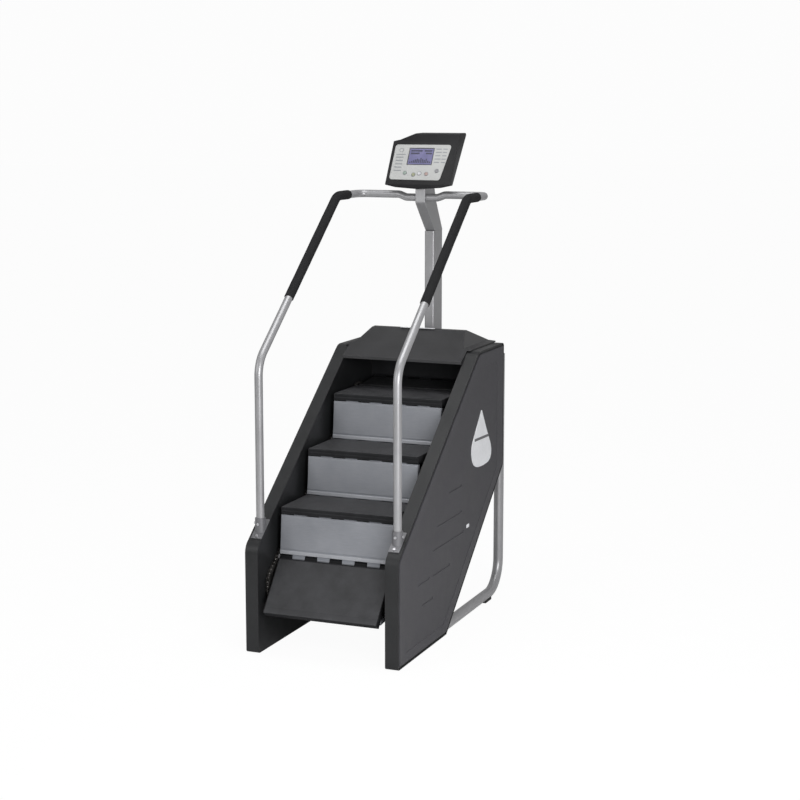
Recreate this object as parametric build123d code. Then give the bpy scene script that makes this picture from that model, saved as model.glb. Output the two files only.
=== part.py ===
"""Stair climber: a short revolving staircase between two walls, with handrails, mast and console.

Millimetres. X is across the machine (+X is the user's right), +Y runs from the entry to the
console, Z is up from the floor. The pieces are modelled with y = 0 at the front feet and are
moved back by Y_MID on export, so that the origin is the centre of the footprint.
"""

import math
import os

from build123d import *

# ---- driving dimensions -------------------------------------------------------------------
Y_MID = 667.85           # middle of the machine along Y
WALL_IN = 290.0          # inner face of a wall
WALL_RIM = 349.0         # outer edge of a wall's rim
COVER_IN = 345.3         # inner face of a side cover
COVER_OUT = 351.5        # outer face of a side cover
SKIN = 4.0               # thickness of the moulded skins
FLOOR_GAP = 4.0          # height of the rubber pads
WALL = [(0, 4), (558.8, 4), (1305, 626), (1305, 1206), (967.8, 1206), (0, 464)]
WALL_RADII = [12, 16, 22, 20, 70, 60]

# Grooves pressed into a side cover: from y, to y, at height z.
GROOVES = [(576, 739, 639), (438, 741, 520), (385, 769, 424), (386, 593, 314), (212, 350, 314),
           (264, 391, 217)]

PITCH = 19.05            # roller chain pitch
TEETH = 28               # teeth of every chain sprocket
CHAIN_R = 85.07          # pitch radius of those sprockets
TOOTH_START = 132.77     # angle of a tooth, half a pitch on from a chain pin
CENTRES = 1104.9         # distance between the two shafts
LOWER = (154.83, 277.11)
UPPER = (1044.85, 931.86)
U = (0.80552, 0.59259)   # direction of the climb in (y, z)
N = (-0.59259, 0.80552)  # outward from the climbing side

# Axle positions (y, z) of the eight linked steps at rest: ROOT[k] carries the back of
# tread k and the foot of riser k + 1, and NOSE[k] carries the front of tread k.
ROOT = {
    -1: (205.24, 208.58), 0: (165.8, 390.8), 1: (442.0, 594.0), 2: (718.2, 797.2),
    3: (994.4, 1000.4), 4: (1033.88, 818.17), 5: (757.66, 614.98), 6: (481.45, 411.78),
}
NOSE = {
    0: (1.9, 191.5), 1: (183.8, 594.0), 2: (460.0, 797.2), 3: (736.2, 1000.4),
    4: (1197.8, 1017.5), 5: (1015.9, 615.0), 6: (739.7, 411.8), 7: (463.4, 208.6),
}
STEP_HALF = 260.0        # half width of treads and risers
SEGMENTS = 9             # hinge knuckles across a step
AXLE_R = 6.0
NOSE_PIN_R = 4.0
ROLLER_R = 14.0

RAIL_R = 17.5            # handrail tube
RAIL_X = 314.0
GRIP_R = 21.5
LEG_R = 23.0             # floor rail and rear leg tube
LEG_X = 321.0
LEG_Z = 27.5
LEG_Y = 1330.0
MAST_X, MAST_Y0, MAST_Y1, MAST_TOP = 24.0, 1235.0, 1347.0, 1720.0

PULLEY_R, SMALL_R = 100.0, 30.0
ALT = (1172.0, 640.0)    # alternator shaft
BELT_X0, BELT_X1 = 308.0, 320.0
FACE = Plane(origin=(0, 1137.5, 2038.5), x_dir=(1, 0, 0), z_dir=(0, -0.8718, 0.4898))
KEYS = [(-74, -52), (-30, -60), (-2, -54), (32, -56), (80, -40)]
PANEL = [(-146, -86), (102, -88), (131, 94), (-146, 94)]
SCREEN_AT, SCREEN_SIZE = (-12, 33), (118, 82)
BACK = (184, 231)        # direction of the console's back in (y, z)


# ---- helpers --------------------------------------------------------------------------------
def corner(a, b, c, radius):
    """Start, middle and end of a round of this radius at corner b."""
    a, b, c = Vector(a), Vector(b), Vector(c)
    to_a = (a - b).normalized()
    to_c = (c - b).normalized()
    half = math.radians(to_a.get_angle(to_c)) / 2
    centre = b + (to_a + to_c).normalized() * (radius / math.sin(half))
    middle = centre + (b - centre).normalized() * radius
    reach = radius / math.tan(half)
    return b + to_a * reach, middle, b + to_c * reach


def path(points, radii, closed=False):
    """Straight edges with rounds at the corners; a radius of 0 is a sharp corner."""
    count = len(points)
    bends = []
    for i, point in enumerate(points):
        if radii[i] and (closed or 0 < i < count - 1):
            bends.append(corner(points[i - 1], point, points[(i + 1) % count], radii[i]))
        else:
            bends.append((Vector(point), None, Vector(point)))
    edges = []
    for i in range(count):
        start, middle, end = bends[i]
        if middle is not None:
            edges.append(Edge.make_three_point_arc(start, middle, end))
        if i + 1 < count or closed:
            following = bends[(i + 1) % count][0]
            if (following - end).length > 1e-6:
                edges.append(Edge.make_line(end, following))
    return Wire(edges)


def outline(points, radii=None, inset=0.0):
    """Flat face with rounded corners in its own XY plane."""
    flat = [(a, b, 0) for a, b in points]
    radii = radii or [0] * len(points)
    face = Sketch() + Face(path(flat, radii, closed=True))
    if inset:
        face = offset(face, amount=-inset, kind=Kind.INTERSECTION)
    return face


def slab(face, x0, x1):
    """Extrude a face drawn in (y, z) from x0 to x1."""
    return extrude(Plane.YZ.offset(x0) * face, amount=x1 - x0, dir=(1, 0, 0))


def box(x0, x1, y0, y1, z0, z1):
    return Pos((x0 + x1) / 2, (y0 + y1) / 2, (z0 + z1) / 2) * Box(x1 - x0, y1 - y0, z1 - z0)


def rod(centre, radius, x0, x1):
    """Cylinder along X at (y, z)."""
    return slab(Pos(centre[0], centre[1]) * Circle(radius), x0, x1)


def ring(centre, outer, inner, x0, x1):
    return rod(centre, outer, x0, x1) - rod(centre, inner, x0 - 1, x1 + 1)


def along(distance, off=0.0):
    """Point (y, z) on the climb: distance from the lower shaft, offset outward."""
    y = LOWER[0] + U[0] * distance + N[0] * off
    z = LOWER[1] + U[1] * distance + N[1] * off
    return (y, z)


def tube(points, radii, outer, inner=0.0):
    """Round tube or bar bent along a path."""
    line = path(points, radii)
    section = Circle(outer)
    if inner:
        section = section - Circle(inner)
    start = Plane(origin=line @ 0, z_dir=line % 0)
    return sweep(start * section, path=line)


def flip(shape):
    return mirror(shape, about=Plane.YZ)


def save(name, *shapes):
    """Write one STEP with every solid of the given shapes."""
    solids = []
    for shape in shapes:
        solids.extend(shape.solids())
    moved = [Pos(0, -Y_MID, 0) * solid for solid in solids]
    export_step(Compound(children=moved) if len(moved) > 1 else moved[0], f"parts/{name}.step")


# ---- walls and covers -------------------------------------------------------------------------
def leg_line():
    return [(LEG_X, 70, LEG_Z), (LEG_X, LEG_Y, LEG_Z), (LEG_X, LEG_Y, 1150)]


def shaft_holes(x0, x1):
    return [rod(LOWER, 16, x0, x1), rod(UPPER, 16, x0, x1), rod(ALT, 14, x0, x1)]


def wall():
    """Moulded tray: inner skin, rim all round and a recessed lip that carries the cover."""
    whole = outline(WALL, WALL_RADII)
    inside = outline(WALL, WALL_RADII, SKIN)
    tray = slab(whole, WALL_IN, WALL_RIM) - slab(inside, WALL_IN + SKIN, WALL_RIM + 1)
    lip = slab(inside, 341.0, 345.0) - slab(outline(WALL, WALL_RADII, 30), 340, 346)
    tray = tray + lip
    tray -= tube(leg_line(), [0, 140, 0], LEG_R + 0.3)
    for hole in shaft_holes(WALL_IN - 5, WALL_IN + SKIN + 2):
        tray -= hole
    return tray


def cover():
    """Outer side cover with a sunk field, a raised border and level grooves."""
    plate = slab(outline(WALL, WALL_RADII, 14), COVER_IN, COVER_OUT - 2.0)
    plate += slab(outline(WALL, WALL_RADII, 16), COVER_OUT - 2.0, COVER_OUT)
    field = [(62, 60), (520, 60), (1210, 634), (1210, 1130), (960, 1130), (62, 441)]
    plate -= slab(outline(field, [25, 25, 25, 25, 60, 60]), COVER_OUT - 1.2, COVER_OUT + 1)
    for y0, y1, z in GROOVES:
        slot = Pos((y0 + y1) / 2, z) * SlotOverall(y1 - y0, 10)
        plate -= slab(slot, COVER_OUT - 3.2, COVER_OUT + 1)
    return plate


def side_plate():
    """Steel plate inside each wall that carries the shafts."""
    plate = slab(outline(WALL, WALL_RADII, 40), WALL_IN + SKIN + 0.3, WALL_IN + SKIN + 4.3)
    plate -= box(280, 310, -10, 1400, 0, 62)
    for hole in shaft_holes(WALL_IN, WALL_IN + 20):
        plate -= hole
    return plate


def badge():
    """Blank drop-shaped plate on the side cover."""
    corners = [(991, 938), (1126, 752), (1116, 684), (985, 680), (872, 706), (862, 792)]
    drop = outline(corners, [12, 45, 36, 60, 34, 60])
    return slab(drop, COVER_OUT - 1.2, COVER_OUT + 1.0)


def hood():
    """Top cover: sloping front and a raised crown, open underneath, notched for the mast."""
    outer = slab(outline([(887, 1154), (887, 1166), (1092, 1277), (1122, 1280), (1305, 1216),
                          (1305, 1206.4), (966, 1206.4), (896, 1153)]), -320, 320)
    inner = slab(outline([(891, 1146), (894, 1165), (1094, 1273), (1121, 1276), (1301, 1212.5),
                          (1301, 1196), (960, 1196)]), -320, 320)
    crown = [(-289.5, 1130), (289.5, 1130), (289.5, 1206.4), (308, 1206.4), (307, 1212),
             (270, 1215), (222, 1290), (-222, 1290), (-270, 1215), (-307, 1212),
             (-308, 1206.4), (-289.5, 1206.4)]
    hollow = [(-285.5, 1130), (285.5, 1130), (285.5, 1202), (266, 1210), (219, 1284),
              (-219, 1284), (-266, 1210), (-285.5, 1202)]
    shape = outer & extrude(Plane.XZ.offset(-1400) * outline(crown), amount=1500)
    room = inner & extrude(Plane.XZ.offset(-1400) * outline(hollow), amount=1500)
    return shape - room - box(-25, 25, 1234, 1400, 1100, 1400)


# ---- steps --------------------------------------------------------------------------------------
def link_plane(start, end):
    """Plane along a link: local x from start to end, local y outward, z across the machine."""
    direction = (0, end[0] - start[0], end[1] - start[1])
    return Plane(origin=(0, start[0], start[1]), x_dir=direction, z_dir=(1, 0, 0))


def bands(parity, margin=0.3):
    """X spans of every second hinge knuckle."""
    width = 2 * STEP_HALF / SEGMENTS
    first = -STEP_HALF
    return [(first + i * width + margin, first + (i + 1) * width - margin)
            for i in range(parity, SEGMENTS, 2)]


def local_block(plane, a0, a1, b0, b1, x0, x1):
    block = Pos((a0 + a1) / 2, (b0 + b1) / 2, (x0 + x1) / 2)
    return plane * (block * Box(a1 - a0, b1 - b0, x1 - x0))


def tread(nose, root, open_end=False):
    """Moulded tread: solid nose hinged on its front pin, knuckles on the back axle."""
    plane = link_plane(nose, root)
    end = 228.0 if open_end else 244.5
    shape = local_block(plane, -12, end, -15, 15, -STEP_HALF, STEP_HALF)
    shape -= local_block(plane, 22, end - 14, -16, 8, -STEP_HALF + 6, STEP_HALF - 6)
    for x in (-156, -52, 52, 156):
        shape += local_block(plane, 20, end - 12, -12, 9, x - 3, x + 3)
    for x0, x1 in bands(1, -0.3):
        shape -= local_block(plane, -8.6, 24, -16, 8.6, x0, x1)
    shape -= rod(nose, NOSE_PIN_R + 0.05, -258, 258)
    if not open_end:
        for x0, x1 in bands(0):
            neck = local_block(plane, end - 2, 258.2, -11, 11, x0, x1)
            shape += neck + rod(root, 12, x0, x1)
        shape -= rod(root, AXLE_R + 0.05, -300, 300)
    return shape


def riser(root, nose, open_end=False, end=184.0):
    """Folded riser plate with a proud lip at its foot and knuckles at both ends."""
    plane = link_plane(root, nose)
    start = 34.0 if open_end else 15.8
    shape = local_block(plane, start, end, -6, 12, -STEP_HALF, STEP_HALF)
    shape -= local_block(plane, start + 26, end - 8, -7, 8, -STEP_HALF + 6, STEP_HALF - 6)
    if not open_end:
        shape += local_block(plane, 15.8, 32, 12, 15, -STEP_HALF, STEP_HALF)
        for x0, x1 in bands(1):
            neck = local_block(plane, 0, 17, -11, 11, x0, x1)
            shape += neck + rod(root, 12, x0, x1)
        shape -= rod(root, AXLE_R + 0.05, -300, 300)
    for x0, x1 in bands(1):
        neck = local_block(plane, end - 1, 204, -6, 6, x0, x1)
        shape += neck + rod(nose, 7.8, x0, x1)
    return shape - rod(nose, NOSE_PIN_R + 0.05, -300, 300)


def axle(centre):
    return rod(centre, AXLE_R, -268.8, 268.8)


def rollers(centre):
    """Track rollers at the two ends of a step axle."""
    one = ring(centre, ROLLER_R, AXLE_R, 262.5, 268.5)
    return [one, flip(one)]


def nose_pin(centre):
    return rod(centre, NOSE_PIN_R, -257.5, 257.5)


# ---- chain drive --------------------------------------------------------------------------------
def stadium(radius):
    """Face of everything within radius of the line between the two shafts."""
    a, b = along(0, radius), along(CENTRES, radius)
    c, d = along(CENTRES, -radius), along(0, -radius)
    body = Sketch() + Face(path([(*p, 0) for p in (a, b, c, d)], [0] * 4, closed=True))
    return body + Pos(*LOWER) * Circle(radius) + Pos(*UPPER) * Circle(radius)


def chain():
    """Two link-plate bands with pins between them on the straight runs."""
    band = stadium(CHAIN_R + 7.5) - stadium(CHAIN_R - 7.5)
    solids = [slab(band, 270.5, 273.5), slab(band, 283.5, 286.5)]
    whole = solids[0] + solids[1]
    for i in range(26):
        place = 76.2 + i * 2 * PITCH
        for side in (CHAIN_R, -CHAIN_R):
            whole += rod(along(place, side), 4.0, 272, 285)
    return whole


def sprocket(centre):
    """Toothed disc with a hub; the teeth stand between the chain's link plates."""
    face = Sketch() + Circle(CHAIN_R - 5)
    for i in range(TEETH):
        tooth = outline([(CHAIN_R - 8, -4.6), (CHAIN_R + 4.5, -1.8), (CHAIN_R + 4.5, 1.8),
                         (CHAIN_R - 8, 4.6)])
        face += Rot(0, 0, TOOTH_START + i * 360 / TEETH) * tooth
    for i in range(6):
        face -= Rot(0, 0, i * 60) * Pos(52, 0) * Circle(14)
    disc = slab(Pos(*centre) * face, 275.5, 281.5)
    hub = rod(centre, 26, 263, 288)
    return disc + hub - rod(centre, 12.5, 200, 300)


def track(side):
    """Steel rails under the rollers of one run, both walls."""
    low = CHAIN_R - ROLLER_R - 4.3 if side > 0 else -CHAIN_R - ROLLER_R - 4.3
    points = [along(75, low), along(1030, low), along(1030, low + 4), along(75, low + 4)]
    one = slab(outline(points), 262.0, WALL_IN - 0.2)
    return [one, flip(one)]


def shaft(centre, x0, x1):
    return rod(centre, 12.45, x0, x1)


def bearing(centre, inner=12.5):
    """Flanged bearing on the outer side of the steel plate."""
    body = ring(centre, 15.8, inner, 291, 306) + ring(centre, 32, inner, 298.5, 304)
    return body


def grooved_pulley(centre, radius, bore, x0, x1):
    """Belt pulley with flanges and, on the large one, lightening holes."""
    wheel = rod(centre, radius, x0, x1) + rod(centre, radius + 5, x0 - 2, x0)
    wheel += rod(centre, radius + 5, x1, x1 + 2)
    if radius > 60:
        for i in range(5):
            angle = math.radians(72 * i + 10)
            spot = (centre[0] + 60 * math.cos(angle), centre[1] + 60 * math.sin(angle))
            wheel -= rod(spot, 20, x0 - 5, x1 + 5)
    return wheel - rod(centre, bore, x0 - 5, x1 + 5)


def belt():
    """Flat belt round both pulleys."""
    def loop(extra):
        big, small = PULLEY_R + extra, SMALL_R + extra
        dy, dz = ALT[0] - UPPER[0], ALT[1] - UPPER[1]
        length = math.hypot(dy, dz)
        tilt = math.atan2(dz, dy)
        spread = math.acos((big - small) / length)
        points = []
        for centre, radius, sign in ((UPPER, big, 1), (UPPER, big, -1), (ALT, small, -1), (ALT, small, 1)):
            angle = tilt + sign * spread
            points.append((centre[0] + radius * math.cos(angle), centre[1] + radius * math.sin(angle)))
        ordered = [points[0], points[1], points[2], points[3]]
        body = outline(ordered)
        return body + Pos(*UPPER) * Circle(big) + Pos(*ALT) * Circle(small)
    return slab(loop(3.3) - loop(0.3), BELT_X0 + 0.5, BELT_X1 - 0.5)


# ---- handrails, legs and mast ---------------------------------------------------------------------
RAIL_POINTS = [(RAIL_X, 79, 500), (RAIL_X, 79, 1240), (RAIL_X, 889, 1893), (RAIL_X, 1145, 1893),
               (112, 1145, 1893), (78, 1145, 1880), (0.2, 1145, 1880)]
RAIL_RADII = [0, 130, 90, 45, 40, 40, 0]


def slope_block(lift):
    """Everything below a plane parallel to the wall's slope, lift above it."""
    tilt = math.degrees(math.atan2(1200 - 464, 960))
    height = 464 + 79 * (1200 - 464) / 960
    plane = Pos(RAIL_X, 79, height) * Rot(tilt, 0, 0)
    return plane * (Pos(0, 0, lift - 100) * Box(200, 300, 200))


def handrail():
    return tube(RAIL_POINTS, RAIL_RADII, RAIL_R, RAIL_R - 2.5) - slope_block(5.6)


def grip():
    points = [(RAIL_X, 376, 1479.4), (RAIL_X, 889, 1893), (RAIL_X, 1044, 1893)]
    return tube(points, [0, 90, 0], GRIP_R, RAIL_R + 0.3)


def rail_bracket():
    """Plate on the wall's slope with a socket round the foot of the handrail."""
    tilt = math.degrees(math.atan2(1200 - 464, 960))
    height = 464 + 79 * (1200 - 464) / 960
    plane = Pos(RAIL_X, 79, height) * Rot(tilt, 0, 0)
    plate = plane * (Pos(0, 1, 2.8) * Box(48, 106, 5))
    socket = ring_z(RAIL_X, 79, 23, RAIL_R + 0.05, 500, 576) - slope_block(0.3)
    return plate + socket - rod_z(RAIL_X, 79, RAIL_R + 0.05, 500, 700).cut(slope_block(5.3))


def rod_z(x, y, radius, z0, z1):
    return Pos(x, y, (z0 + z1) / 2) * Cylinder(radius, z1 - z0)


def ring_z(x, y, outer, inner, z0, z1):
    return rod_z(x, y, outer, z0, z1) - rod_z(x, y, inner, z0 - 1, z1 + 1)


def bracket_bolts():
    """Two cap bolts on the plate and one cross bolt head on the socket."""
    tilt = math.degrees(math.atan2(1200 - 464, 960))
    height = 464 + 79 * (1200 - 464) / 960
    plane = Pos(RAIL_X, 79, height) * Rot(tilt, 0, 0)
    heads = [plane * (Pos(0, along_slope, 8.0) * Cylinder(6.5, 5.0)) for along_slope in (-40, 45)]
    side = Pos(RAIL_X + 25.6, 79, 552) * Rot(0, 90, 0) * Cylinder(6, 5)
    front = Pos(RAIL_X, 79 - 25.6, 552) * Rot(90, 0, 0) * Cylinder(6, 5)
    return heads + [side, front]


def leg():
    return tube(leg_line(), [0, 140, 0], LEG_R, LEG_R - 2.5)


def mast():
    post = box(-MAST_X, MAST_X, MAST_Y0, MAST_Y1, 600, MAST_TOP)
    post = fillet(post.edges().filter_by(Axis.Z), 8)
    return post - box(-MAST_X + 3, MAST_X - 3, MAST_Y0 + 3, MAST_Y1 - 3, 595, MAST_TOP - 6)


def mast_neck():
    """Gusset that leans forward from the mast and holds the crossbar and the console."""
    face = outline([(1248, 1720.2), (1347, 1720.2), (1262, 1862), (1240, 1925), (1234, 2010),
                    (1178, 2015), (1121, 1943.4), (1116, 1858), (1170, 1800)],
                   [0, 0, 60, 40, 4, 4, 4, 14, 60])
    body = slab(face, -MAST_X, MAST_X)
    body = fillet(body.edges().filter_by(GeomType.LINE).filter_by(
        lambda e: abs(abs(e.center().X) - MAST_X) < 0.01 and e.center().Z > 1725), 3)
    return body - slab(Pos(1145, 1880) * Circle(RAIL_R + 0.05), -60, 60)


def leg_ties():
    """Cross tubes that join both rear legs to the mast."""
    parts = []
    for z in (700, 1000):
        one = box(MAST_X + 0.1, LEG_X, 1308, 1342, z - 17, z + 17)
        one -= box(0, LEG_X + 5, 1310.5, 1339.5, z - 14.5, z + 14.5)
        one -= rod_z(LEG_X, LEG_Y, LEG_R + 0.05, z - 50, z + 50)
        parts.extend([one, flip(one)])
    return parts


def leg_saddles():
    parts = []
    for z in (780, 1090):
        one = box(LEG_X - 27, LEG_X + 23, 1305.2, 1328, z - 22, z + 22)
        one -= rod_z(LEG_X, LEG_Y, LEG_R + 0.05, z - 50, z + 50)
        parts.extend([one, flip(one)])
    return parts


def body_tubes():
    """Three tubes across the machine inside the step loop."""
    return [rod(along(d), 20, -WALL_IN + 0.2, WALL_IN - 0.2) - rod(along(d), 17, -300, 300)
            for d in (300, 552, 800)]


def rear_cover():
    return box(-289.7, 289.7, 1227, 1230, 590, 1196)


def belly():
    """Thin panel along the rear diagonal, under the returning steps."""
    points = [(640, 78), (1222, 563), (1222, 567.8), (640, 82.8)]
    return slab(outline(points), -289.7, 289.7)


def pads():
    """Rubber feet under the walls and under the floor rails."""
    parts = []
    for y in (60, 470):
        one = box(298, 343, y - 32, y + 32, 0, FLOOR_GAP)
        parts.extend([one, flip(one)])
    rear = box(LEG_X - 20, LEG_X + 20, 1100, 1180, 0, 14)
    rear -= Pos(LEG_X, 1140, LEG_Z) * Rot(90, 0, 0) * Cylinder(LEG_R + 0.05, 200)
    return parts + [rear, flip(rear)]


# ---- console ----------------------------------------------------------------------------------------
def on_face(u, v, size_u, size_v, low, high, radius=0.0):
    """Block on the console face: centre, size and depth range along the face's normal."""
    shape = Pos(u, v) * (RectangleRounded(size_u, size_v, radius) if radius else Rectangle(size_u, size_v))
    return extrude(FACE.offset(low) * shape, amount=high - low)


def panel(inset, low, high, radius=14):
    """Block of the front panel's shape, inset all round."""
    face = outline(PANEL, [radius] * 4, inset)
    return extrude(FACE.offset(low) * face, amount=high - low)


def console_shell():
    """Wedge-shaped housing with a raised visor, a bowed lower edge and a cut top corner."""
    side = outline([(1085, 1942), (1190, 2131), (1206, 2170), (1284, 2172), (1292, 2163), (1108, 1932),
                    (1108, 1915), (1090, 1915)], [6, 0, 8, 4, 4, 6, 2, 4])
    body = slab(side, -160, 160)
    front = [(-160, 1938), (-110, 1927), (0, 1920), (110, 1927), (160, 1938), (160, 2240),
             (-48, 2240), (-48, 2173), (-128, 2141), (-160, 2134)]
    body &= extrude(Plane.XZ.offset(-1400) * outline(front), amount=1500)
    body -= panel(-0.3, -8, 30, 14.3)
    return body - panel(8, -21.5, 0, 8)


def overlay():
    """Front panel with a window for the screen and holes for the keys."""
    plate = panel(0, -7.7, -2.0)
    plate -= on_face(*SCREEN_AT, *SCREEN_SIZE, -20, 10, 5)
    for u, v in KEYS:
        plate -= extrude(FACE.offset(-20) * (Pos(u, v) * Circle(8.35)), amount=40)
    return plate


def key(u, v):
    """One push key: cap above the overlay and a flange behind it."""
    cap = extrude(FACE.offset(-9.5) * (Pos(u, v) * Circle(8)), amount=10.0)
    flange = extrude(FACE.offset(-11.5) * (Pos(u, v) * Circle(10)), amount=2.0)
    return cap + flange


def console_parts():
    screen = on_face(*SCREEN_AT, SCREEN_SIZE[0] - 0.6, SCREEN_SIZE[1] - 0.6, -7.6, -3.2, 4.7)
    board = panel(12, -21.2, -19.4, 5)
    return screen, board


def console_bracket():
    """Plate between the neck's slanted top and the console's back."""
    length = math.hypot(*BACK)
    dy, dz = BACK[0] / length, BACK[1] / length
    base = (1108 + 20 * dy, 1932 + 20 * dz)
    corners = [(0, 0.3), (100, 0.3), (100, 2.6), (0, 2.6)]
    points = [(base[0] + a * dy + b * dz, base[1] + a * dz - b * dy) for a, b in corners]
    return slab(outline(points), -55, 55)


# ---- build --------------------------------------------------------------------------------------------
def build_frame():
    right_wall = wall()
    save("wall_right", right_wall)
    save("wall_left", flip(right_wall))
    plate_badge = badge()
    right_cover = cover() - plate_badge
    save("side_cover_right", right_cover)
    save("side_cover_left", flip(right_cover))
    strip = box(-85, 85, 1086, 1098, 1282, 1284)
    save("badges", plate_badge, flip(plate_badge), strip)
    save("side_plates", side_plate(), flip(side_plate()))
    save("hood", hood())
    save("rear_cover", rear_cover())
    save("belly_panel", belly())
    save("rubber_feet", *pads())
    save("leg_tube_right", leg())
    save("leg_tube_left", flip(leg()))
    save("frame_tubes", *leg_ties(), *leg_saddles(), *body_tubes())
    save("mast", mast())
    save("mast_neck", mast_neck())


def build_handrails():
    save("handrail_right", handrail())
    save("handrail_left", flip(handrail()))
    save("grip_right", grip())
    save("grip_left", flip(grip()))
    save("rail_brackets", rail_bracket(), flip(rail_bracket()))
    bolts = bracket_bolts()
    save("bracket_bolts", *bolts, *[flip(bolt) for bolt in bolts])


def build_steps():
    for k in (1, 2, 3):
        save(f"tread_{k}", tread(NOSE[k], ROOT[k]))
        save(f"riser_{k}", riser(ROOT[k - 1], NOSE[k]))
        pins = [axle(ROOT[k]), nose_pin(NOSE[k])] + rollers(ROOT[k])
        if k == 1:
            pins += [axle(ROOT[0])] + rollers(ROOT[0])
        save(f"step_{k}_axles", *pins)
    save("lower_tread", tread(NOSE[0], ROOT[0]), nose_pin(NOSE[0]))
    save("lower_riser", riser(ROOT[-1], NOSE[0], True, 174.0))
    save("upper_tread", tread(NOSE[4], ROOT[4], open_end=True), nose_pin(NOSE[4]))
    save("upper_riser", riser(ROOT[3], NOSE[4], False, 174.0))
    back = [(5, 4, 5), (6, 5, 6), (7, 6, -1)]
    treads, risers = [], []
    axles = [axle(ROOT[4])] + rollers(ROOT[4])
    for nose, foot, root in back:
        treads.append(tread(NOSE[nose], ROOT[root]))
        risers.append(riser(ROOT[foot], NOSE[nose]))
        axles += [axle(ROOT[root]), nose_pin(NOSE[nose])] + rollers(ROOT[root])
    save("return_treads", *treads)
    save("return_risers", *risers)
    save("return_axles", *axles)


def build_drive():
    loop = chain()
    save("chain_loops", loop, flip(loop))
    save("track_rails", *track(1), *track(-1))
    save("drive_shaft", shaft(UPPER, -306, 326))
    save("drive_sprockets", sprocket(UPPER), flip(sprocket(UPPER)))
    save("drive_pulley", grooved_pulley(UPPER, PULLEY_R, 12.5, BELT_X0, BELT_X1))
    save("idler_shaft", shaft(LOWER, -306, 306))
    save("idler_sprockets", sprocket(LOWER), flip(sprocket(LOWER)))
    rings = [bearing(UPPER), flip(bearing(UPPER)), bearing(LOWER), flip(bearing(LOWER))]
    save("shaft_bearings", *rings)
    save("drive_belt", belt())
    body = ring(ALT, 52, 8.05, 226, 288) + ring(ALT, 40, 8.05, 214, 226) + ring(ALT, 13.6, 8.05, 288, 300)
    save("alternator", body)
    save("alternator_shaft", rod(ALT, 8.0, 205, 326))
    save("alternator_pulley", grooved_pulley(ALT, SMALL_R, 8.0, BELT_X0, BELT_X1))


def build_console():
    save("console_shell", console_shell())
    save("console_overlay", overlay())
    screen, board = console_parts()
    save("console_screen", screen)
    save("console_board", board)
    save("console_bracket", console_bracket())
    for number, (u, v) in enumerate(KEYS, start=1):
        save(f"key_{number}", key(u, v))


def main():
    os.makedirs("parts", exist_ok=True)
    build_frame()
    build_handrails()
    build_steps()
    build_drive()
    build_console()


main()
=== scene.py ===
"""Looks of the stair climber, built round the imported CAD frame."""

import math

import bmesh
import bpy
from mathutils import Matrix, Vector

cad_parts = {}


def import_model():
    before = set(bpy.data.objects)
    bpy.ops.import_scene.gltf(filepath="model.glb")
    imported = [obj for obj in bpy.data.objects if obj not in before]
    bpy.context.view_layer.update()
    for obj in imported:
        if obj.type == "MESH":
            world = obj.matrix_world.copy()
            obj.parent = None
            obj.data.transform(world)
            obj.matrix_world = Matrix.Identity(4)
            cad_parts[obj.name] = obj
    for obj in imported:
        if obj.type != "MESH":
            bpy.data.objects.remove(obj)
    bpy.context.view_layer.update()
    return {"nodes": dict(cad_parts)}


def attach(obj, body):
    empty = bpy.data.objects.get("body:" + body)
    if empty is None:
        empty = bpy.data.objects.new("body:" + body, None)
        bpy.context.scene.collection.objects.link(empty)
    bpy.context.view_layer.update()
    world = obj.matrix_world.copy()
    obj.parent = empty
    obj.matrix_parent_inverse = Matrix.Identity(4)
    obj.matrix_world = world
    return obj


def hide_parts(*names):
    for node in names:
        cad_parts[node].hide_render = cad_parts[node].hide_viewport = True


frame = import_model()
nodes = frame["nodes"]

# All lengths are millimetres, with y = 0 at the front feet, until world() turns them to metres.
MM = 0.001
Y_MID = 667.85                                        # the row frame's y = 0
LOWER, UPPER = (154.83, 277.11), (1044.85, 931.86)    # sprocket shafts (y, z)
U, N = (0.80552, 0.59259), (-0.59259, 0.80552)        # up the stairs, and square to it
PITCH, CHAIN_R, CENTRES = 19.05, 85.07, 1104.9        # chain pitch, pitch radius, shaft distance
LINKS, LINK_END, LINK_WAIST, ROLLER = 144, 7.2, 5.4, 5.9
OUTER_PLATES = ((270.6, 272.2), (284.8, 286.4))       # x of the link plates
INNER_PLATES = ((272.4, 274.0), (283.0, 284.6))
# Hinge points (y, z) of the eight steps: where tread and riser meet, and the nose.
ROOT = {-1: (205.24, 208.58), 0: (165.8, 390.8), 1: (442.0, 594.0), 2: (718.2, 797.2),
        3: (994.4, 1000.4), 4: (1033.88, 818.17), 5: (757.66, 614.98), 6: (481.45, 411.78)}
NOSE = {0: (1.9, 191.5), 1: (183.8, 594.0), 2: (460.0, 797.2), 3: (736.2, 1000.4),
        4: (1197.8, 1017.5), 5: (1015.9, 615.0), 6: (739.7, 411.8), 7: (463.4, 208.6)}
TREAD_HALF, RISER_HALF = 257.0, 258.0                 # half widths of the mats and riser skins
RAIL_X, RAIL_R, GRIP_R = 314.0, 17.5, 21.0            # handrail line, tube and foam radius
GRIP_END_R, GRIP_LIP = 18.6, 4.0                      # foam radius at its ends, length of the round
BADGE_IN, BADGE_FACE, BADGE_BAR = 350.3, 352.4, 352.9
BEVEL_FROM = 35                                       # degrees; flatter edges stay as they are
# Console face: its middle and its two directions in (x, y, z).
FACE_ORIGIN = Vector((0, 1137.5, 2038.5))
FACE_UP = Vector((0, 0.4898, 0.8718))
FACE_OUT = Vector((0, -0.8718, 0.4898))


def world(x, y, z):
    """Row-frame metres from millimetres with y = 0 at the front feet."""
    return Vector((x, y - Y_MID, z)) * MM


# ---- materials --------------------------------------------------------------------------
ROUGH_RANGE = 0.08                                    # roughness varies by this much each way


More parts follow.
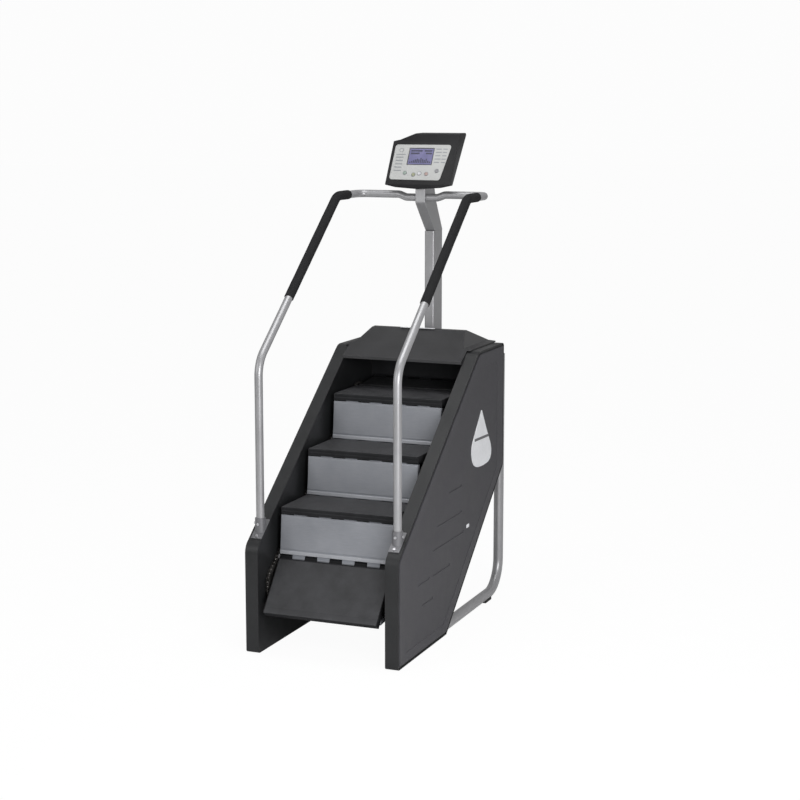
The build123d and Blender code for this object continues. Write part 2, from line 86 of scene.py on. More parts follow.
def node(tree, kind, **values):
    item = tree.nodes.new(kind)
    for key, value in values.items():
        if hasattr(item, key):
            setattr(item, key, value)
        else:
            item.inputs[key.replace("_", " ")].default_value = value
    return item


def shader(name, color, rough, metal=0.0, grain=(900, 900, 900), bump=0.15, depth=0.0002,
           mottle=0.18, mottle_scale=7.0, edge_wear_and_highlight=0.0, edge_wear_and_highlight_color=(0.3, 0.3, 0.3),
           coat=0.0, coat_rough=0.3, specular=0.5, pits=0.0):
    """Principled material with grain bump, mottled colour, uneven roughness and lighter edges: edge
    wear, and on the console painted edge highlights.
    """
    mat = bpy.data.materials.new(name)
    mat.use_nodes = True
    tree = mat.node_tree
    bsdf = tree.nodes["Principled BSDF"]
    bsdf.inputs["Metallic"].default_value = metal
    bsdf.inputs["Coat Weight"].default_value = coat
    bsdf.inputs["Coat Roughness"].default_value = coat_rough
    bsdf.inputs["Specular IOR Level"].default_value = specular
    coords = node(tree, "ShaderNodeTexCoord")
    mapping = node(tree, "ShaderNodeMapping")
    mapping.inputs["Scale"].default_value = grain
    tree.links.new(coords.outputs["Object"], mapping.inputs["Vector"])
    fine = node(tree, "ShaderNodeTexNoise", Scale=1.0, Detail=3.0, Roughness=0.6)
    tree.links.new(mapping.outputs["Vector"], fine.inputs["Vector"])
    broad = node(tree, "ShaderNodeTexNoise", Scale=mottle_scale, Detail=5.0, Roughness=0.62)
    tree.links.new(coords.outputs["Object"], broad.inputs["Vector"])
    ramp = node(tree, "ShaderNodeValToRGB")
    low = [c * (1 - mottle) for c in color]
    high = [min(1.0, c * (1 + mottle)) for c in color]
    ramp.color_ramp.elements[0].position = 0.32
    ramp.color_ramp.elements[0].color = (*low, 1)
    ramp.color_ramp.elements[1].position = 0.68
    ramp.color_ramp.elements[1].color = (*high, 1)
    tree.links.new(broad.outputs["Fac"], ramp.inputs["Fac"])
    last = ramp.outputs["Color"]
    speck = node(tree, "ShaderNodeMix", data_type="RGBA", blend_type="MULTIPLY")
    speck.inputs["Factor"].default_value = 0.35
    grey = node(tree, "ShaderNodeMapRange")
    grey.inputs["From Min"].default_value = 0.3
    grey.inputs["From Max"].default_value = 0.7
    grey.inputs["To Min"].default_value = 0.72
    grey.inputs["To Max"].default_value = 1.2
    tree.links.new(fine.outputs["Fac"], grey.inputs["Value"])
    tree.links.new(last, speck.inputs["A"])
    tree.links.new(grey.outputs["Result"], speck.inputs["B"])
    last = speck.outputs["Result"]
    # Lighter colour on sharp edges: edge wear on most parts; on the console it is a painted
    # highlight along the rims.
    if edge_wear_and_highlight:
        geometry = node(tree, "ShaderNodeNewGeometry")
        edge = node(tree, "ShaderNodeMapRange")
        edge.inputs["From Min"].default_value = 0.52
        edge.inputs["From Max"].default_value = 0.60
        edge.inputs["To Max"].default_value = edge_wear_and_highlight
        tree.links.new(geometry.outputs["Pointiness"], edge.inputs["Value"])
        rub_and_highlight = node(tree, "ShaderNodeMath", operation="MULTIPLY")
        tree.links.new(edge.outputs["Result"], rub_and_highlight.inputs[0])
        tree.links.new(broad.outputs["Fac"], rub_and_highlight.inputs[1])
        worn_and_highlit = node(tree, "ShaderNodeMix", data_type="RGBA")
        worn_and_highlit.inputs["B"].default_value = (*edge_wear_and_highlight_color, 1)
        tree.links.new(rub_and_highlight.outputs["Value"], worn_and_highlit.inputs["Factor"])
        tree.links.new(last, worn_and_highlit.inputs["A"])
        last = worn_and_highlit.outputs["Result"]
    tree.links.new(last, bsdf.inputs["Base Color"])
    spread = node(tree, "ShaderNodeMapRange")
    spread.inputs["From Min"].default_value = 0.3
    spread.inputs["From Max"].default_value = 0.7
    spread.inputs["To Min"].default_value = max(0.03, rough - ROUGH_RANGE)
    spread.inputs["To Max"].default_value = min(1.0, rough + ROUGH_RANGE)
    tree.links.new(broad.outputs["Fac"], spread.inputs["Value"])
    tree.links.new(spread.outputs["Result"], bsdf.inputs["Roughness"])
    bumped = node(tree, "ShaderNodeBump")
    bumped.inputs["Strength"].default_value = bump
    bumped.inputs["Distance"].default_value = depth
    height = fine.outputs["Fac"]
    if pits:
        cells = node(tree, "ShaderNodeTexVoronoi")
        cells.inputs["Scale"].default_value = pits
        tree.links.new(coords.outputs["Object"], cells.inputs["Vector"])
        mixed = node(tree, "ShaderNodeMath", operation="ADD")
        tree.links.new(fine.outputs["Fac"], mixed.inputs[0])
        tree.links.new(cells.outputs["Distance"], mixed.inputs[1])
        height = mixed.outputs["Value"]
    tree.links.new(height, bumped.inputs["Height"])
    tree.links.new(bumped.outputs["Normal"], bsdf.inputs["Normal"])
    return mat


WALL = shader("wall_plastic", (0.012, 0.0125, 0.0135), 0.44, bump=0.35, pits=1100, edge_wear_and_highlight=0.5,
              edge_wear_and_highlight_color=(0.07, 0.07, 0.075), mottle=0.2, specular=0.4)
COVER = shader("cover_plastic", (0.048, 0.047, 0.053), 0.5, bump=0.4, pits=900, edge_wear_and_highlight=0.5,
               edge_wear_and_highlight_color=(0.13, 0.13, 0.14), mottle=0.14, specular=0.3)
HOOD = shader("hood_plastic", (0.022, 0.022, 0.024), 0.44, bump=0.35, pits=1000, edge_wear_and_highlight=0.5,
              edge_wear_and_highlight_color=(0.10, 0.10, 0.10))
TREAD = shader("tread_plastic", (0.005, 0.0053, 0.006), 0.55, bump=0.35, pits=1400, edge_wear_and_highlight=0.6,
               edge_wear_and_highlight_color=(0.06, 0.06, 0.065), specular=0.16)
MAT = shader("tread_mat", (0.010, 0.0105, 0.0125), 0.58, bump=0.5, pits=1500, edge_wear_and_highlight=0.7,
             edge_wear_and_highlight_color=(0.08, 0.08, 0.085), mottle=0.3, mottle_scale=14)
RISER = shader("riser_metal", (0.212, 0.222, 0.245), 0.46, metal=0.35, grain=(25, 900, 900),
               bump=0.2, mottle=0.07, mottle_scale=4, edge_wear_and_highlight=0.4, edge_wear_and_highlight_color=(0.5, 0.5, 0.52))
RISER_LIP = shader("riser_lip", (0.33, 0.34, 0.365), 0.4, metal=0.45, grain=(25, 900, 900),
                   bump=0.2, mottle=0.07, edge_wear_and_highlight=0.4, edge_wear_and_highlight_color=(0.6, 0.6, 0.62))
# Painted shade: a darker copy of the riser metal for the upper step, standing in for the shade
# under the hood.
RISER_PAINTED_SHADE = shader("riser_metal_painted_shade", (0.020, 0.021, 0.023), 0.5, metal=0.35,
                    grain=(25, 900, 900), bump=0.2, mottle=0.1, mottle_scale=4, edge_wear_and_highlight=0.3,
                    edge_wear_and_highlight_color=(0.1, 0.1, 0.1))
SILVER = shader("silver_paint", (0.34, 0.34, 0.35), 0.36, metal=0.45, grain=(420, 420, 420),
                bump=0.025, depth=0.0002, mottle=0.05, coat=0.25, coat_rough=0.2)
BRACKET = shader("bracket_paint", (0.16, 0.16, 0.17), 0.4, metal=0.45, bump=0.2, depth=0.0003,
                 mottle=0.1, coat=0.2, edge_wear_and_highlight=0.5, edge_wear_and_highlight_color=(0.45, 0.45, 0.46))
FOAM = shader("grip_foam", (0.012, 0.012, 0.013), 0.85, grain=(700, 700, 700), bump=0.8,
              depth=0.0006, mottle=0.25, mottle_scale=25, pits=1300, specular=0.25)
STEEL = shader("bright_steel", (0.55, 0.55, 0.57), 0.3, metal=1.0, grain=(60, 900, 900), bump=0.1)
DARK_STEEL = shader("chain_steel", (0.14, 0.135, 0.13), 0.38, metal=0.9, mottle=0.3,
                    mottle_scale=30, bump=0.2)
PLATE = shader("plate_steel", (0.05, 0.05, 0.055), 0.45, metal=0.3, bump=0.2, edge_wear_and_highlight=0.4)
RUBBER = shader("rubber", (0.015, 0.015, 0.015), 0.75, bump=0.5, pits=700)
CAST = shader("cast_metal", (0.30, 0.30, 0.31), 0.5, metal=0.85, bump=0.5, pits=500, edge_wear_and_highlight=0.5,
              edge_wear_and_highlight_color=(0.6, 0.6, 0.6))
BADGE = shader("badge_plate", (0.86, 0.87, 0.90), 0.34, metal=0.25, grain=(60, 1200, 60),
               bump=0.1, mottle=0.06)
BADGE_INSET = shader("badge_inset", (0.12, 0.12, 0.13), 0.45, metal=0.2, bump=0.15)
# The console's lighter edges (from the edge mask) are painted highlights along its rims.
CONSOLE = shader("console_plastic", (0.007, 0.007, 0.008), 0.42, bump=0.35, pits=1500, edge_wear_and_highlight=0.9,
                 edge_wear_and_highlight_color=(0.12, 0.12, 0.125), specular=0.25)
OVERLAY = shader("overlay_film", (0.385, 0.39, 0.385), 0.42, bump=0.15, pits=2200, mottle=0.05,
                 coat=0.2, coat_rough=0.35)
SCREEN = shader("screen_film", (0.15, 0.145, 0.27), 0.12, bump=0.02, mottle=0.10,
                mottle_scale=18, coat=0.6, coat_rough=0.05)
MARK = shader("legend_grey", (0.23, 0.24, 0.25), 0.5, bump=0.1, mottle=0.1)
DARK_MARK = shader("legend_dark", (0.03, 0.03, 0.06), 0.4, bump=0.1, mottle=0.1)
BOARD = shader("board_green", (0.03, 0.16, 0.06), 0.4, bump=0.3, pits=300)
KEY_COLOURS = [(0.22, 0.27, 0.24), (0.24, 0.25, 0.16), (0.45, 0.45, 0.47), (0.33, 0.24, 0.22),
               (0.2, 0.2, 0.21)]
KEY_MATS = [shader(f"key_cap_{i + 1}", c, 0.42, bump=0.2, mottle=0.08, coat=0.15)
            for i, c in enumerate(KEY_COLOURS)]


# ---- mesh helpers -------------------------------------------------------------------------
def finish_mesh(obj, mat, bevel=0.0, segments=2, weighted=True):
    """Material, rounded edges and smooth shading by modifiers."""
    obj.data.materials.clear()
    obj.data.materials.append(mat)
    for polygon in obj.data.polygons:
        polygon.use_smooth = True
    if bevel:
        mod = obj.modifiers.new("round", "BEVEL")
        mod.width = bevel * MM
        mod.segments = segments
        mod.limit_method = "ANGLE"
        mod.angle_limit = math.radians(BEVEL_FROM)
        mod.harden_normals = False
    if weighted:
        normal = obj.modifiers.new("normals", "WEIGHTED_NORMAL")
        normal.keep_sharp = True
        normal.weight = 80
    return obj


def dress(name, mat, bevel=0.6, segments=2):
    """Carried-over CAD node: weld, dissolve flat facets, round the edges."""
    obj = nodes[name]
    weld = obj.modifiers.new("weld", "WELD")
    weld.merge_threshold = 0.00001
    flat = obj.modifiers.new("flat", "DECIMATE")
    flat.decimate_type = "DISSOLVE"
    flat.angle_limit = math.radians(0.4)
    return finish_mesh(obj, mat, bevel, segments)


def add_object(name, mesh, mat, body, bevel=0.0, segments=2, weighted=True):
    obj = bpy.data.objects.new(name, mesh)
    bpy.context.scene.collection.objects.link(obj)
    finish_mesh(obj, mat, bevel, segments, weighted=weighted)
    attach(obj, body)
    return obj


def mesh_from(name, parts):
    """One mesh from several (points, faces) lists, with outward faces."""
    mesh = bpy.data.meshes.new(name)
    bm = bmesh.new()
    for points, faces in parts:
        made = [bm.verts.new(p) for p in points]
        for face in faces:
            bm.faces.new([made[i] for i in face])
    bmesh.ops.recalc_face_normals(bm, faces=bm.faces)
    bm.to_mesh(mesh)
    bm.free()
    return mesh


def prism(points, low, high):
    """(points, faces) of a closed prism between two lists made by mapping the outline."""
    count = len(points)
    verts = [low(p) for p in points] + [high(p) for p in points]
    faces = [list(range(count))[::-1], list(range(count, 2 * count))]
    faces += [[i, (i + 1) % count, count + (i + 1) % count, count + i] for i in range(count)]
    return verts, faces


def rounded(points, radius, steps=6):
    """Closed 2-D outline with rounded corners."""
    out = []
    count = len(points)
    for i, point in enumerate(points):
        here = Vector(point)
        before = (Vector(points[i - 1]) - here).normalized()
        after = (Vector(points[(i + 1) % count]) - here).normalized()
        r = radius[i] if isinstance(radius, (list, tuple)) else radius
        if not r:
            out.append(tuple(here))
            continue
        half = before.angle(after) / 2
        centre = here + (before + after).normalized() * (r / math.sin(half))
        start = here + before * (r / math.tan(half)) - centre
        end = here + after * (r / math.tan(half)) - centre
        a0 = math.atan2(start.y, start.x)
        sweep = (math.atan2(end.y, end.x) - a0 + math.pi) % (2 * math.pi) - math.pi
        for k in range(steps + 1):
            angle = a0 + sweep * k / steps
            out.append((centre.x + r * math.cos(angle), centre.y + r * math.sin(angle)))
    return out


def link(start, end):
    """Mapping from (along, outward) millimetres of a link to (y, z)."""
    length = math.hypot(end[0] - start[0], end[1] - start[1])
    dy, dz = (end[0] - start[0]) / length, (end[1] - start[1]) / length
    return lambda a, b: (start[0] + a * dy - b * dz, start[1] + a * dz + b * dy)


def across(outline, place, x0, x1):
    """Prism along X from an outline in a link's own coordinates."""
    def at(x):
        return lambda p: world(x, *place(*p))
    return prism(outline, at(x0), at(x1))


def bend_path(points, radii, step=4.0):
    """Points along straight runs joined by arcs."""
    points = [Vector(p) for p in points]
    out = [points[0]]
    for i in range(1, len(points) - 1):
        here, r = points[i], radii[i]
        before = (points[i - 1] - here).normalized()
        after = (points[i + 1] - here).normalized()
        half = before.angle(after) / 2
        centre = here + (before + after).normalized() * (r / math.sin(half))
        start = here + before * (r / math.tan(half)) - centre
        end = here + after * (r / math.tan(half)) - centre
        turn = start.angle(end)
        count = max(6, int(turn * r / step))
        for k in range(count + 1):
            t = k / count
            spoke = start * math.sin((1 - t) * turn) + end * math.sin(t * turn)
            out.append(centre + spoke / math.sin(turn))
    out.append(points[-1])
    dense = [out[0]]
    for a, b in zip(out, out[1:]):
        count = max(1, int((b - a).length / (step * 2)))
        dense += [a.lerp(b, (k + 1) / count) for k in range(count)]
    return dense


def sweep(line, radius_at, sides=40):
    """Closed tube along a line; radius_at(distance, total, angle) in millimetres."""
    total = sum((b - a).length for a, b in zip(line, line[1:]))
    side = Vector((1, 0, 0)) if abs((line[1] - line[0]).normalized().x) < 0.9 else Vector((0, 1, 0))
    verts, rings, gone = [], 0, 0.0
    for i, point in enumerate(line):
        ahead = line[min(i + 1, len(line) - 1)] - line[max(i - 1, 0)]
        ahead.normalize()
        side = (side - ahead * side.dot(ahead)).normalized()
        other = ahead.cross(side)
        if i:
            gone += (point - line[i - 1]).length
        for k in range(sides):
            angle = 2 * math.pi * k / sides
            r = radius_at(gone, total, angle)
            offset = side * (r * math.cos(angle))
            verts.append(world(*(point + offset + other * (r * math.sin(angle)))))
        rings += 1
    faces = [list(range(sides))[::-1], [(rings - 1) * sides + k for k in range(sides)]]
    for i in range(rings - 1):
        for k in range(sides):
            a, b = i * sides + k, i * sides + (k + 1) % sides
            faces.append([a, b, b + sides, a + sides])
    return verts, faces


# ---- steps ---------------------------------------------------------------------------------
def tread_mat_outline():
    """Ribbed mat on top of a tread, wrapped a little over the nose."""
    top = [(-11.6, 14.4), (-11.4, 15.2), (-10.2, 16.0), (-8.5, 16.2), (14.0, 16.2)]
    for i in range(44):
        a = 16.0 + i * 5.0
        top += [(a, 15.6), (a + 0.6, 16.2), (a + 3.6, 16.2), (a + 4.2, 15.6)]
    top += [(238.5, 15.6), (240, 14.4)]
    return top


def riser_skin_outline():
    """Front sheet of a riser above its lip."""
    return [(33.4, 11.6), (33.4, 12.25), (38.2, 12.25), (39.4, 13.5), (176, 13.5),
            (178, 12.6), (178, 11.6)]


def riser_lip_outline():
    """Brighter folded lip at the foot of a riser."""
    return [(16.1, 11.6), (16.1, 15.6), (17.2, 16.6), (29.5, 16.6), (31.6, 15.0), (32.6, 11.6)]


def add_step(tag, body, nose, root_back, root_front, lipped=True):
    """Mat, nose strip, riser skin and lip of one step, riding on its body."""
    tread = link(nose, root_back)
    riser = link(root_front, nose)
    mesh = mesh_from(f"{tag}_mat", [across(tread_mat_outline(), tread, -TREAD_HALF, TREAD_HALF)])
    add_object(f"{tag}_mat", mesh, MAT, body, 0.35, 1)
    nose_strip = [(-12.9, -11.5), (-12.9, -4), (-11.8, -3.2), (-11.8, 2.2), (-12.9, 3.0),
                  (-12.9, 10.5), (-11.0, 11.8), (-11.0, -12.6)]
    mesh = mesh_from(f"{tag}_nose_strip", [across(nose_strip, tread, -TREAD_HALF, TREAD_HALF)])
    add_object(f"{tag}_nose_strip", mesh, TREAD, body, 0.4, 2)
    mesh = mesh_from(f"{tag}_skin", [across(riser_skin_outline(), riser, -RISER_HALF, RISER_HALF)])
    # The upper step's riser skin takes the darker copy: painted shade under the hood.
    plate = RISER_PAINTED_SHADE if tag == "upper_step" else RISER
    add_object(f"{tag}_skin", mesh, plate, body, 0.5, 2)
    if lipped:
        lip = across(riser_lip_outline(), riser, -RISER_HALF, RISER_HALF)
        mesh = mesh_from(f"{tag}_lip", [lip])
        add_object(f"{tag}_lip", mesh, RISER_LIP, body, 0.5, 2)


STEP_MATS = [("step_1", "front_step_1", 1, 1, 0), ("step_2", "front_step_2", 2, 2, 1),
             ("step_3", "front_step_3", 3, 3, 2), ("lower_step", "lower_step", 0, 0, -1),
             ("upper_step", "upper_step", 4, 4, 3), ("return_step_1", "return_steps", 5, 5, 4),
             ("return_step_2", "return_steps", 6, 6, 5),
             ("return_step_3", "return_steps", 7, -1, 6)]
for tag, body, nose, back, front in STEP_MATS:
    lipped = tag not in ("lower_step", "upper_step")
    add_step(tag, body, NOSE[nose], ROOT[back], ROOT[front], lipped)
for name in ("tread_1", "tread_2", "tread_3", "lower_tread", "upper_tread", "return_treads"):
    dress(name, TREAD, 1.6, 3)
for name in ("riser_1", "riser_2", "riser_3", "lower_riser", "return_risers"):
    dress(name, RISER, 0.8)
# Painted shade: the upper riser is drawn in the darker riser copy for the shade under the hood.
dress("upper_riser", RISER_PAINTED_SHADE, 0.8)
for name in ("step_1_axles", "step_2_axles", "step_3_axles", "return_axles"):
    dress(name, STEEL, 0.4)


# ---- chains -----------------------------------------------------------------------------------
def on_loop(distance):
    """(y, z) on the chain's pitch line, distance in links from the lower front tangent."""
    run, turn = CENTRES, math.pi * CHAIN_R
    s = (distance * PITCH) % (2 * run + 2 * turn)
    start = math.atan2(N[1], N[0])
    if s < run:
        return (LOWER[0] + U[0] * s + N[0] * CHAIN_R, LOWER[1] + U[1] * s + N[1] * CHAIN_R)
    s -= run
    if s < turn:
        angle = start - s / CHAIN_R
        return (UPPER[0] + CHAIN_R * math.cos(angle), UPPER[1] + CHAIN_R * math.sin(angle))
    s -= turn
    if s < run:
        return (UPPER[0] - U[0] * s - N[0] * CHAIN_R, UPPER[1] - U[1] * s - N[1] * CHAIN_R)
    s -= run
    angle = start + math.pi - s / CHAIN_R
    return (LOWER[0] + CHAIN_R * math.cos(angle), LOWER[1] + CHAIN_R * math.sin(angle))


def chain_loop(side):
    """Inner and outer links in turn, with a roller at each joint."""
    parts = []
    for i in range(LINKS):
        a, b = on_loop(i), on_loop(i + 1)
        place = link(a, b)
        length = math.hypot(b[0] - a[0], b[1] - a[1])
        pts = []
        for k in range(9):
            angle = -math.pi / 2 + math.pi * k / 8
            pts.append((length + LINK_END * math.cos(angle), LINK_END * math.sin(angle)))
        pts.append((length / 2, LINK_WAIST))
        for k in range(9):
            angle = math.pi / 2 + math.pi * k / 8
            pts.append((LINK_END * math.cos(angle), LINK_END * math.sin(angle)))
        pts.append((length / 2, -LINK_WAIST))
        for x0, x1 in OUTER_PLATES if i % 2 else INNER_PLATES:
            parts.append(across(pts, place, side * x0, side * x1))
        circle = [(ROLLER * math.cos(k * math.pi / 7), ROLLER * math.sin(k * math.pi / 7))
                  for k in range(14)]
        parts.append(across(circle, place, side * 274.1, side * 282.9))
    return parts


chain = mesh_from("chain_links", chain_loop(1) + chain_loop(-1))
chain_obj = add_object("chain_links", chain, DARK_STEEL, "frame", 0.0, 2)
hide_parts("chain_loops")
for name in ("drive_sprockets", "idler_sprockets", "shaft_bearings"):
    dress(name, DARK_STEEL, 0.4)
for name in ("drive_shaft", "idler_shaft", "alternator_shaft"):
    dress(name, STEEL, 0.5)
for name in ("drive_pulley", "alternator_pulley", "alternator"):
    dress(name, CAST, 0.8)
dress("drive_belt", RUBBER, 0.3)
dress("track_rails", PLATE, 0.5)
dress("side_plates", PLATE, 0.4)

# ---- body -------------------------------------------------------------------------------------
for name in ("wall_right", "wall_left"):
    dress(name, WALL, 2.2, 4)
for name in ("side_cover_right", "side_cover_left"):
    dress(name, COVER, 0.9, 3)
dress("hood", HOOD, 5.0, 5)
dress("rear_cover", TREAD, 0.6)
dress("belly_panel", HOOD, 0.6)
dress("rubber_feet", RUBBER, 1.0)
for name in ("leg_tube_right", "leg_tube_left", "frame_tubes"):
    dress(name, SILVER, 0.5)
dress("mast", SILVER, 1.0, 3)
dress("mast_neck", SILVER, 2.0, 3)
dress("console_bracket", SILVER, 0.5)
dress("rail_brackets", BRACKET, 1.0, 3)
dress("bracket_bolts", STEEL, 0.8, 3)


# ---- grips ---------------------------------------------------------------------------------------
def grip(side):
    """Foam sleeve over the slope and bend of a handrail, with rounded ends and slight dents."""
    x = side * RAIL_X
    line = bend_path([(x, 376, 1479.4), (x, 889, 1893), (x, 1014, 1893)], [0, 90, 0], 3.0)
    fine = [line[0]]
    for a, b in zip(line, line[1:]):
        fine += [a.lerp(b, (k + 1) / 2) for k in range(2)]

    def radius_at(gone, total, angle):
        edge = min(gone, total - gone)
        lip = GRIP_R
        if edge <= GRIP_LIP:
            drop = max(0.0, 1 - (1 - edge / GRIP_LIP) ** 2)
            lip = GRIP_END_R + (GRIP_R - GRIP_END_R) * math.sqrt(drop)
        press = 0.35 * math.sin(gone / 37.0 + 2 * angle) * math.sin(gone / 61.0 + side)
        return lip + (press if edge > 8 else 0.0)
    return sweep(fine, radius_at, 44)


def handrail(side):
    """Bent tube from the wall bracket up the slope and round to the mast, smooth all along."""
    x = side * RAIL_X
    points = [(x, 79, 541), (x, 79, 1240), (x, 889, 1893), (x, 1145, 1893),
              (side * 112, 1145, 1893), (side * 78, 1145, 1880), (side * 0.2, 1145, 1880)]
    line = bend_path(points, [0, 130, 90, 45, 40, 40, 0], 4.0)
    return sweep(line, lambda gone, total, angle: RAIL_R, 48)


for side, tag in ((1, "right"), (-1, "left")):
    rail = add_object(f"rail_{tag}", mesh_from(f"rail_{tag}", [handrail(side)]), SILVER, "frame",
                      0.0, 2, weighted=False)
    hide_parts(f"handrail_{tag}")
    foam = add_object(f"foam_grip_{tag}", mesh_from(f"foam_grip_{tag}", [grip(side)]), FOAM,
                      "frame", 0.0, 2, weighted=False)
    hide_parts(f"grip_{tag}")


# ---- badges and small plates --------------------------------------------------------------------
def side_at(side, x):
    return lambda p: world(side * x, p[0], p[1])


def smooth(points, rounds=3):
    """Closed outline with its corners cut again and again."""
    for _ in range(rounds):
        cut = []
        for a, b in zip(points, points[1:] + points[:1]):
            a, b = Vector(a), Vector(b)
            cut += [tuple(a.lerp(b, 0.25)), tuple(a.lerp(b, 0.75))]
        points = cut
    return points


DROP = smooth([(991, 941), (1006, 921), (1050, 852), (1094, 794), (1127, 748), (1128, 704),
               (1094, 681), (1040, 677), (985, 677), (925, 683), (880, 704), (859, 746),
               (863, 794), (898, 834), (945, 886), (977, 921)])
strip = rounded([(-85, 1086), (85, 1086), (85, 1098), (-85, 1098)], 2.0)
plates = [prism(DROP, side_at(side, BADGE_IN), side_at(side, BADGE_FACE)) for side in (1, -1)]
plates.append(prism(strip, lambda p: world(p[0], p[1], 1282.0),
                    lambda p: world(p[0], p[1], 1283.9)))
plates = add_object("badge_plates", mesh_from("badge_plates", plates), BADGE, "frame", 0.5, 3)
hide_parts("badges")
for side, tag in ((1, "right"), (-1, "left")):
    bar = rounded([(900, 805), (1090, 799), (1090, 811), (900, 817)], 4)
    mesh = mesh_from(f"badge_inset_{tag}",
                     [prism(bar, side_at(side, 352.2), side_at(side, BADGE_BAR))])
    add_object(f"badge_inset_{tag}", mesh, BADGE_INSET, "frame", 0.2, 2)
    label = rounded([(804, 428), (838, 428), (838, 444), (804, 444)], 2.5)
    mesh = mesh_from(f"side_plate_blank_{tag}",
                     [prism(label, side_at(side, 350.2), side_at(side, 350.9))])
    add_object(f"side_plate_blank_{tag}", mesh, BADGE, "frame", 0.15, 1)


# ---- console ----------------------------------------------------------------------------
def on_face(u, v, n):
    """Row-frame point at (right, up, out) on the console face."""
    point = FACE_ORIGIN + Vector((u, 0, 0)) + FACE_UP * v + FACE_OUT * n
    return world(point.x, point.y, point.z)


def face_plate(u0, u1, v0, v1, low, high, radius=3.0):
    shape = rounded([(u0, v0), (u1, v0), (u1, v1), (u0, v1)], radius)
    return prism(shape, lambda p: on_face(p[0], p[1], low), lambda p: on_face(p[0], p[1], high))


def face_ring(u, v, outer, inner, low, high, sides=40):
    """Flat ring round (u, v) on the console face."""
    verts, faces = [], []
    for r, n in ((outer, low), (outer, high), (inner, high), (inner, low)):
        for k in range(sides):
            angle = 2 * math.pi * k / sides
            verts.append(on_face(u + r * math.cos(angle), v + r * math.sin(angle), n))
    for level in range(4):
        for k in range(sides):
            a, b = level * sides + k, level * sides + (k + 1) % sides
            c, d = ((level + 1) % 4) * sides + (k + 1) % sides, ((level + 1) % 4) * sides + k
            faces.append([a, b, c, d])
    return verts, faces


dress("console_shell", CONSOLE, 4.0, 4)
dress("console_overlay", OVERLAY, 0.5)
dress("console_screen", SCREEN, 0.6)
dress("console_board", BOARD, 0.3)
KEYS = [(-74, -52), (-30, -60), (-2, -54), (32, -56), (80, -40)]
for i, (u, v) in enumerate(KEYS):
    dress(f"key_{i + 1}", KEY_MATS[i], 1.2, 4)
    collar = mesh_from(f"key_ring_{i + 1}", [face_ring(u, v, 10.6, 8.7, -2.2, -1.1)])
    add_object(f"key_ring_{i + 1}", collar, MARK, "frame", 0.25, 2)
CX, CY, HALF_W, HALF_H = -12.0, 33.0, 59.0, 41.0      # screen window on the console face
RIM = 2.5
frame_bars = [face_plate(u0, u1, v0, v1, -2.2, -0.9, 1) for u0, u1, v0, v1 in (
    (CX - HALF_W - RIM, CX - HALF_W, CY - HALF_H, CY + HALF_H),
    (CX + HALF_W, CX + HALF_W + RIM, CY - HALF_H, CY + HALF_H),
    (CX - HALF_W - RIM, CX + HALF_W + RIM, CY + HALF_H, CY + HALF_H + RIM),
    (CX - HALF_W - RIM, CX + HALF_W + RIM, CY - HALF_H - RIM, CY - HALF_H))]
add_object("screen_frame", mesh_from("screen_frame", frame_bars), CONSOLE, "frame", 0.3, 2)
bars = []
for column, height in enumerate((6, 10, 14, 18, 22, 18, 26, 20, 16, 22, 12, 8)):
    left = CX - 52 + column * 8.8
    bars.append(face_plate(left, left + 6, CY - 33, CY - 33 + height, -3.25, -3.05, 0.8))
for row in range(2):
    top = CY + 33 - row * 13
    bars.append(face_plate(CX - 52, CX + 4 - row * 12, top - 8, top, -3.25, -3.05, 1.0))
    bars.append(face_plate(CX + 14 + row * 8, CX + 52, top - 8, top, -3.25, -3.05, 1.0))
add_object("screen_marks", mesh_from("screen_marks", bars), DARK_MARK, "frame", 0.0, 1)
legends = [face_ring(-112, 65, 11, 8.5, -2.1, -1.5), face_plate(-134, -86, 40, 44, -2.1, -1.5, 1.5)]
for row in range(5):
    low = 25 - row * 17
    legends.append(face_plate(-132, -96, low, low + 6, -2.1, -1.6, 1.5))
    low = 69 - row * 17
    legends.append(face_plate(58, 84 + 4 * (row % 2), low, low + 5, -2.1, -1.6, 1.5))
    legends.append(face_plate(92, 114, low, low + 5, -2.1, -1.6, 1.5))
add_object("overlay_legends", mesh_from("overlay_legends", legends), MARK, "frame", 0.15, 1)

# ---- stage, light and camera --------------------------------------------------------------
def glow(mat, colour, strength):
    """Let a stage material shine a little, so that the studio stays white."""
    bsdf = mat.node_tree.nodes["Principled BSDF"]
    bsdf.inputs["Emission Color"].default_value = (*colour, 1)
    bsdf.inputs["Emission Strength"].default_value = strength


scene = bpy.context.scene
floor_mesh = bpy.data.meshes.new("floor")
FLOOR = 70.0                                          # metres each way
floor_mesh.from_pydata([(-FLOOR, -FLOOR, 0), (FLOOR, -FLOOR, 0), (FLOOR, FLOOR, 0),
                        (-FLOOR, FLOOR, 0)], [], [(0, 1, 2, 3)])
floor = bpy.data.objects.new("floor", floor_mesh)
scene.collection.objects.link(floor)
floor_mat = shader("studio_floor", (0.80, 0.80, 0.80), 0.8, bump=0.02, mottle=0.01, specular=0.1)
floor_mesh.materials.append(floor_mat)

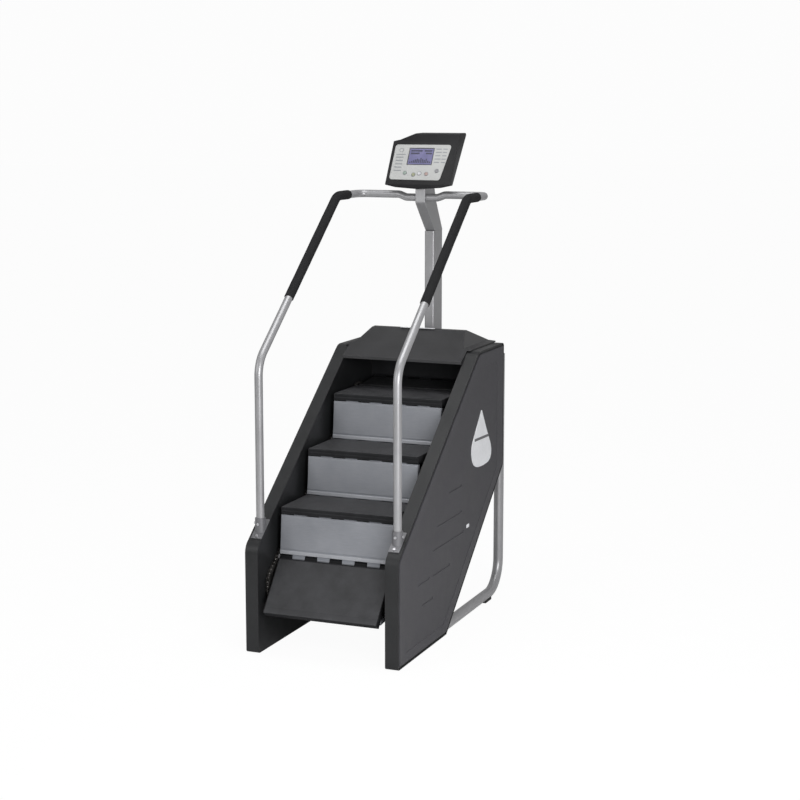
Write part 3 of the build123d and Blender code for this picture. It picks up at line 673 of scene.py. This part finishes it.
# A thin white film that only the camera sees, so that just a little shadow shows on the floor.
veil_mesh = floor_mesh.copy()
veil_mesh.name = "floor_veil"
veil = bpy.data.objects.new("floor_veil", veil_mesh)
veil.location = (0, 0, 0.0004)
scene.collection.objects.link(veil)
veil_mat = shader("studio_veil", (0.01, 0.01, 0.01), 0.9, bump=0.0, specular=0.0)
glow(veil_mat, (1, 1, 1), 1.0)
veil_mat.node_tree.nodes["Principled BSDF"].inputs["Alpha"].default_value = 0.955
veil_mesh.materials.clear()
veil_mesh.materials.append(veil_mat)

shell_mesh = bpy.data.meshes.new("backdrop")
shell_bm = bmesh.new()
bmesh.ops.create_uvsphere(shell_bm, u_segments=48, v_segments=24, radius=60.0)
shell_bm.to_mesh(shell_mesh)
shell_bm.free()
backdrop = bpy.data.objects.new("backdrop", shell_mesh)
scene.collection.objects.link(backdrop)
backdrop_mat = shader("studio_backdrop", (0.01, 0.01, 0.01), 0.9, bump=0.0, specular=0.0)
glow(backdrop_mat, (1, 1, 1), 0.972)
shell_mesh.materials.append(backdrop_mat)
for screen in (veil, backdrop):
    screen.visible_diffuse = False
    screen.visible_glossy = False
    screen.visible_transmission = False
    screen.visible_shadow = False

sky = bpy.data.worlds.new("studio")
scene.world = sky
sky.use_nodes = True
sky.node_tree.nodes["Background"].inputs["Color"].default_value = (1, 1, 1, 1)
sky.node_tree.nodes["Background"].inputs["Strength"].default_value = 0.40
scene.view_settings.view_transform = "Standard"


def area(name, place, target, size, power):
    lamp = bpy.data.lights.new(name, "AREA")
    lamp.shape = "RECTANGLE"
    lamp.size, lamp.size_y = size
    lamp.energy = power
    obj = bpy.data.objects.new(name, lamp)
    obj.location = place
    obj.rotation_euler = (Vector(target) - Vector(place)).to_track_quat("-Z", "Y").to_euler()
    scene.collection.objects.link(obj)


area("key_light", (2.4, -3.0, 1.7), (0, -0.2, 0.8), (1.8, 1.8), 95)
area("fill_light", (-2.8, -4.4, 2.8), (0, 0, 0.9), (2.6, 2.6), 42)
area("top_light", (0.2, -0.6, 4.6), (0, 0, 0.8), (2.6, 2.6), 70)

lens = bpy.data.cameras.new("camera")
lens.lens = 80.48
lens.sensor_width = 36.0
lens.clip_end = 200
camera = bpy.data.objects.new("camera", lens)
camera.location = world(3026.4, -6541.0, 2318.2)
camera.rotation_euler = (math.radians(90 - 9.5), 0, math.radians(22.2))
scene.collection.objects.link(camera)
scene.camera = camera
